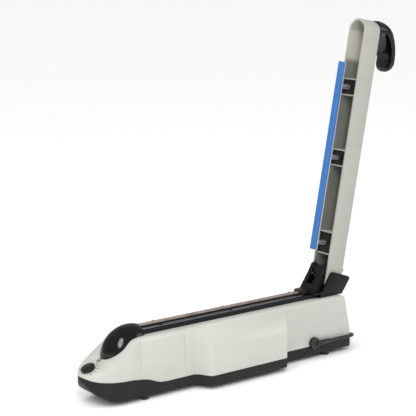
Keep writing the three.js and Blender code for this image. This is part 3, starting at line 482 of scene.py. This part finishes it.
# silicone sheet, nichrome and brass: the tape and the dome hide nearly all of these
pad_sheet = sheath("pad_silicone_sheet", "#6E6A64", roughness=0.75, grain_mm=1.0)
finished_copy("insulating_pad", "bed_pad", pad_sheet, "base")
ribbon_metal = metal("ribbon_nichrome", "#9A9C9E", 0.3)
finished_copy("heating_element", "heating_ribbon", ribbon_metal, "base")
brass = metal("terminal_plain_brass", "#B49A5A", 0.35)
finished_copy("front_terminal", "terminal_front", brass, "base", 0.3, 40)
finished_copy("rear_terminal", "terminal_rear", brass, "base", 0.3, 40)

# the tape: a plain weave under a waxy brown skin with darker stains. Its threads are drawn 7.5 mm apart,
# much coarser than the real cloth's, which wouldn't show. A wave texture repeats every 2 pi / 20 at a
# scale of 1.
thread_mm = 7.54
weave_scale = 1000 / thread_mm * 2 * math.pi / 20
tape_cloth, tree = new_finish("tape_ptfe_coated_glass")
place = add_node(tree, "ShaderNodeTexCoord")
warp = add_node(
    tree, "ShaderNodeTexWave", settings={"wave_type": "BANDS", "bands_direction": "X"},
    inputs={"Scale": weave_scale, "Distortion": 0.3}, links={"Vector": place.outputs["Object"]})
weft = add_node(
    tree, "ShaderNodeTexWave", settings={"wave_type": "BANDS", "bands_direction": "Y"},
    inputs={"Scale": weave_scale, "Distortion": 0.3}, links={"Vector": place.outputs["Object"]})
weave = add_node(
    tree, "ShaderNodeMath", settings={"operation": "MAXIMUM"},
    links={0: warp.outputs["Fac"], 1: weft.outputs["Fac"]})
stain = add_node(
    tree, "ShaderNodeTexNoise", inputs={"Scale": 60.0, "Detail": 5.0},
    links={"Vector": place.outputs["Object"]})
brown = add_node(tree, "ShaderNodeValToRGB", links={"Fac": stain.outputs["Fac"]})
brown.color_ramp.elements[0].position = 0.3
brown.color_ramp.elements[0].color = linear("#6F645B")
brown.color_ramp.elements[1].position = 0.72
brown.color_ramp.elements[1].color = linear("#978A80")
bump = add_node(
    tree, "ShaderNodeBump", inputs={"Strength": 0.4, "Distance": 0.0001},
    links={"Height": weave.outputs["Value"]})
shader = add_node(
    tree, "ShaderNodeBsdfPrincipled", inputs={"Roughness": 0.38, "IOR": 1.38},
    links={"Base Color": brown.outputs["Color"], "Normal": bump.outputs["Normal"]})
add_node(tree, "ShaderNodeOutputMaterial", links={"Surface": shader.outputs["BSDF"]})
finished_copy("ptfe_cover", "bed_tape", tape_cloth, "base", 0.2, 40)

# ---------------------------------------------------------------- end dome
# A hollow cap, moulded in one piece of black plastic, closes the front end of the bed over the ribbon's
# live terminal. The rail's end runs into it through a cut in its rear wall.
# high-gloss moulding: nearly black, and it mirrors the lamps sharply
piano_black = moulded("dome_high_gloss_black", "#020203", 0.07, 6.0, "#121214", 0.2, depth=0.00001, ior=1.43)
finished_copy("end_dome", "bed_end_dome", piano_black, "base", shade=40)

# ---------------------------------------------------------------- timer knob and lamp
# A ribbed black knob on the timer's shaft sets the heating time. The small clear lamp beside the dome lights
# while the ribbon is hot; it is dark here, so its water-clear lens looks grey.
finished_copy("timer_knob", "timer_dial", piano_black, "knob", 0.7, 38, 3)
# plated steel: bright, and clouded every 8 mm
plated = metal("plated_bright_steel", "#B4B6B8", 0.25, brush=(1.0, 1.0, 1.0), brush_scale=120.0)
finished_copy("timer_potentiometer", "timer_pot", plated, "base", 0.3, 40)
# clear moulded plastic over a dark inside: a wet-looking grey, cloudy at 2 mm
lamp_clear, tree = new_finish("lamp_clear_lens")
place = add_node(tree, "ShaderNodeTexCoord")
swirl = add_node(
    tree, "ShaderNodeTexNoise", inputs={"Scale": 1000 / 2, "Detail": 2.0},
    links={"Vector": place.outputs["Object"]})
core = add_node(tree, "ShaderNodeValToRGB", links={"Fac": swirl.outputs["Fac"]})
core.color_ramp.elements[0].color = linear("#77756C")
core.color_ramp.elements[1].color = linear("#A9A79C")
shader = add_node(
    tree, "ShaderNodeBsdfPrincipled", inputs={"Roughness": 0.12, "IOR": 1.49, "Coat Weight": 0.4},
    links={"Base Color": core.outputs["Color"]})
add_node(tree, "ShaderNodeOutputMaterial", links={"Surface": shader.outputs["BSDF"]})
finished_copy("status_led", "heating_lamp", lamp_clear, "base")

# printed scale: short dark strokes round the knob and a ring round the lamp, in a thin speckled ink
scale_ink, tree = new_finish("scale_dark_grey_print")
place = add_node(tree, "ShaderNodeTexCoord")
speckle = add_node(
    tree, "ShaderNodeTexNoise", inputs={"Scale": 1000 / 0.4, "Detail": 2.0},
    links={"Vector": place.outputs["Object"]})
ink = add_node(tree, "ShaderNodeValToRGB", links={"Fac": speckle.outputs["Fac"]})
ink.color_ramp.elements[0].color = linear("#2A2B2A")
ink.color_ramp.elements[1].color = linear("#4A4B49")
shader = add_node(
    tree, "ShaderNodeBsdfPrincipled", inputs={"Roughness": 0.5}, links={"Base Color": ink.outputs["Color"]})
add_node(tree, "ShaderNodeOutputMaterial", links={"Surface": shader.outputs["BSDF"]})
panel_tilt = math.atan2(4, 9)
dial_middle = bench_point(-476, -1.5, 53.62)
panel = Matrix.Translation(dial_middle) @ Matrix.Rotation(-panel_tilt, 4, "Y")
mark_count = 9
first_mark, mark_step = -112, 28  # degrees
mark_circle = 0.0152
long_stroke, short_stroke, stroke_width = 0.0042, 0.0022, 0.0011
ink_thickness = 0.00012
marks = bmesh.new()
for step in range(mark_count):
    angle = math.radians(first_mark + mark_step * step)
    stroke = long_stroke if step % 2 == 0 else short_stroke
    made = bmesh.ops.create_cube(marks, size=1.0)
    size = Matrix.Diagonal((stroke, stroke_width, ink_thickness, 1))
    put = panel @ Matrix.Rotation(angle, 4, "Z") @ Matrix.Translation((mark_circle, 0, 0)) @ size
    bmesh.ops.transform(marks, matrix=put, verts=made["verts"])
ring_middle = bench_point(-455.4, 2.6, 63.1)
ring_radius = 0.0041
ring_hole = 0.8  # of its radius
shoulder_tilt = math.radians(27)
lamp_ring = bmesh.ops.create_circle(marks, cap_ends=False, segments=28, radius=ring_radius)
ring_edges = [e for e in marks.edges if all(v in lamp_ring["verts"] for v in e.verts)]
grown = bmesh.ops.extrude_edge_only(marks, edges=ring_edges)
inner = [v for v in grown["geom"] if isinstance(v, bmesh.types.BMVert)]
bmesh.ops.scale(marks, vec=(ring_hole, ring_hole, 1), verts=inner)
ring_faces = [f for f in grown["geom"] if isinstance(f, bmesh.types.BMFace)]
bmesh.ops.solidify(marks, geom=ring_faces, thickness=ink_thickness)
# only the ring still lies round the origin, where it was made
ring_verts = [v for v in marks.verts if v.co.length < 2 * ring_radius]
ring_place = Matrix.Translation(ring_middle) @ Matrix.Rotation(-shoulder_tilt, 4, "Y")
bmesh.ops.transform(marks, matrix=ring_place, verts=ring_verts)
bmesh.ops.recalc_face_normals(marks, faces=marks.faces)
scale_mesh = bpy.data.meshes.new("timer_scale")
marks.to_mesh(scale_mesh)
marks.free()
scale_mesh.materials.append(scale_ink)
timer_scale = bpy.data.objects.new("timer_scale", scale_mesh)
bpy.context.scene.collection.objects.link(timer_scale)
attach(timer_scale, "base")

# ---------------------------------------------------------------- electrics inside the body
# A laminated transformer with a taped winding stands in the side housing, and the timer board is under
# the nose. The covers hide all of it.
# stacked steel sheets: dull grey with their edges as lines half a millimetre apart
core_steel = metal("core_laminated_steel", "#6C6E70", 0.45, brush=(1.0, 90.0, 1.0), brush_scale=22.0)
finished_copy("transformer_core", "transformer_stack", core_steel, "base", 0.4, 40)
# amber insulating tape: smooth and shiny
tape_amber = moulded("winding_amber_tape", "#B8672E", 0.3, 1.5, "#D08A4A", 0.3)
finished_copy("transformer_winding", "transformer_coil", tape_amber, "base", 1.2, 40)
# green lacquer over glass laminate: smooth, with a weak gloss
board_green = moulded("board_solder_mask", "#2B6A3C", 0.3, 1.0, "#4A8A5A", 0.3)
finished_copy("control_board", "timer_board", board_green, "base", 0.3, 40)

# ---------------------------------------------------------------- hinge bracket and switch
# The black hinge bracket is one moulding: two cheeks outside the arm, and a hollow tongue inside it that
# carries the steel pin. A sprung plunger under the pin starts the timer as the arm comes down.
# black nylon: darker than the pan, with an even satin skin
hinge_black = moulded("hinge_black_nylon", "#09090A", 0.4, 0.9, "#2C2C2E", 0.35, ior=1.3)
finished_copy("hinge_bracket", "hinge_moulding", hinge_black, "base", 0.6, 30)
finished_copy("hinge_pin", "hinge_axle", screw_black, "base", 0.3, 40)
finished_copy("torsion_spring", "return_spring", plated, "base", shade=60)
finished_copy("micro_switch", "switch_block", hinge_black, "base", 0.3, 40)
# red nylon: a clear strong colour with a satin skin
plunger_red = moulded("plunger_red_nylon", "#A83030", 0.35, 1.0, "#C86060", 0.2)
finished_copy("switch_plunger", "switch_button", plunger_red, "plunger", 0.2, 40)
for index in (1, 2):
    finished_copy(
        f"bracket_screw_{index}", f"bracket_fixing_{index}", screw_black, "base", 0.2, 40)

# ---------------------------------------------------------------- arm
# The arm is a light-grey ABS channel with a rounded tip and cross ribs. Black guides between the ribs hold
# the stems of the pressure bar, and a black hub block hangs the arm on its pin.
# the same ABS as the covers, a little warmer and darker
arm_grey = moulded("arm_warm_grey_abs", "#9F9F96", 0.42, 0.8, "#D2D3CD", 0.35)
arm_channel = finished_copy("arm_channel", "arm_moulding", arm_grey, "arm", 0.6, 32)
# the channel's inside is painted darker: painted shade for the light that the channel's walls keep out of it
inside_painted_shade = moulded("arm_inside_painted_shade", "#74756E", 0.6, 0.8, "#8E8F88", 0.2)
arm_channel.data.materials.append(inside_painted_shade)
pivot = Vector([j for j in frame["joints"] if j["name"] == "arm_hinge"][0]["pos_m"])
lean = math.radians(10.4)  # the open arm stands this far past upright
depth_way = Vector((math.cos(lean), 0, -math.sin(lean)))
length_way = Vector((math.sin(lean), 0, math.cos(lean)))
# past the pressure bar's end the painted shade lifts: the inside there is painted a lighter grey
bar_reach = 0.352
half_fade = 0.004
tree = inside_painted_shade.node_tree
place = add_node(tree, "ShaderNodeTexCoord")
up_the_arm = add_node(
    tree, "ShaderNodeVectorMath", settings={"operation": "DOT_PRODUCT"}, inputs={1: tuple(length_way)},
    links={0: place.outputs["Object"]})
shade_lifts_at = pivot.dot(length_way) + bar_reach
shade_lifted = add_node(
    tree, "ShaderNodeMapRange",
    inputs={"From Min": shade_lifts_at - half_fade, "From Max": shade_lifts_at + half_fade,
            "To Min": 0.0, "To Max": 1.0},
    links={"Value": up_the_arm.outputs["Value"]})
skin_of_inside = [n for n in tree.nodes if n.type == "BSDF_PRINCIPLED"][0]
shaded_colour = skin_of_inside.inputs["Base Color"].links[0].from_socket
inside_tone = add_node(
    tree, "ShaderNodeMix", settings={"data_type": "RGBA"}, inputs={"B": linear("#B4B3A6")},
    links={"Factor": shade_lifted.outputs["Result"], "A": shaded_colour})
tree.links.new(inside_tone.outputs["Result"], skin_of_inside.inputs["Base Color"])
# the faces of the inside: its side walls, 15.5 mm from the centre plane, and its floor, nearly 34 mm deep
side_limit, floor_limit = 0.0158, 0.0157
mouth_depth, floor_from, floor_to = 0.0052, 0.03, 0.0345  # from the pivot's plane
channel_end = 0.395
# the faces chosen here take the painted shade of the inside
for face in arm_channel.data.polygons:
    spot = face.center - pivot
    depth = spot.dot(depth_way)
    from_middle = abs(spot.y)
    faces_in = face.normal.y * spot.y < 0 and abs(face.normal.y) > 0.5
    faces_mouth = face.normal.dot(depth_way) < -0.8
    side_wall = from_middle < side_limit and faces_in
    floor = from_middle < floor_limit and depth > floor_from and faces_mouth
    if mouth_depth < depth < floor_to and spot.dot(length_way) < channel_end and (side_wall or floor):
        face.material_index = 1
finished_copy("arm_hub", "arm_hub_block", hinge_black, "arm", 0.4, 40)
for index in (1, 2):
    finished_copy(f"hub_screw_{index}", f"hub_fixing_{index}", screw_black, "arm", 0.2, 40)
# each spring sits against its guide; the real one loses 4 of its 20 mm as the bar gives, but here each spring
# only gets a mesh of its own
for index in (1, 2, 3):
    finished_copy(
        f"bar_guide_{index}", f"bar_guide_block_{index}", hinge_black, "arm", 0.4, 40)
    bar_spring = finished_copy(
        f"bar_spring_{index}", f"bar_press_spring_{index}", plated, "arm", shade=60)
    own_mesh(bar_spring)

# ---------------------------------------------------------------- pressure bar
# A flat aluminium carrier, 2 mm thick, rides on three sprung stems in the arm's guides. The blue silicone
# strip that presses the bag lies along its face.
# extruded aluminium: pale and bright, with fine lines left by its die
carrier_metal = metal("carrier_extruded_aluminium", "#C9CBCC", 0.35)
finished_copy("bar_carrier", "bar_carrier_rail", carrier_metal, "pressure_bar", 0.3, 40)
# coloured silicone: a strong even blue with a soft skin, paler where it is rubbed
silicone_blue = moulded("strip_blue_silicone", "#2163AA", 0.5, 1.0, "#5C9CE4", 0.4)
finished_copy("pressure_strip", "silicone_strip", silicone_blue, "pressure_bar", 0.8, 40, 3)

# ---------------------------------------------------------------- handle
# A glossy black scoop is screwed to the arm's back near the tip; the fingers go under it on either side
# of its short web.
finished_copy("handle", "arm_handle", piano_black, "arm", 1.6, 35, 3)
for index in (1, 2):
    finished_copy(
        f"handle_screw_{index}", f"handle_fixing_{index}", screw_black, "arm", 0.2, 40)
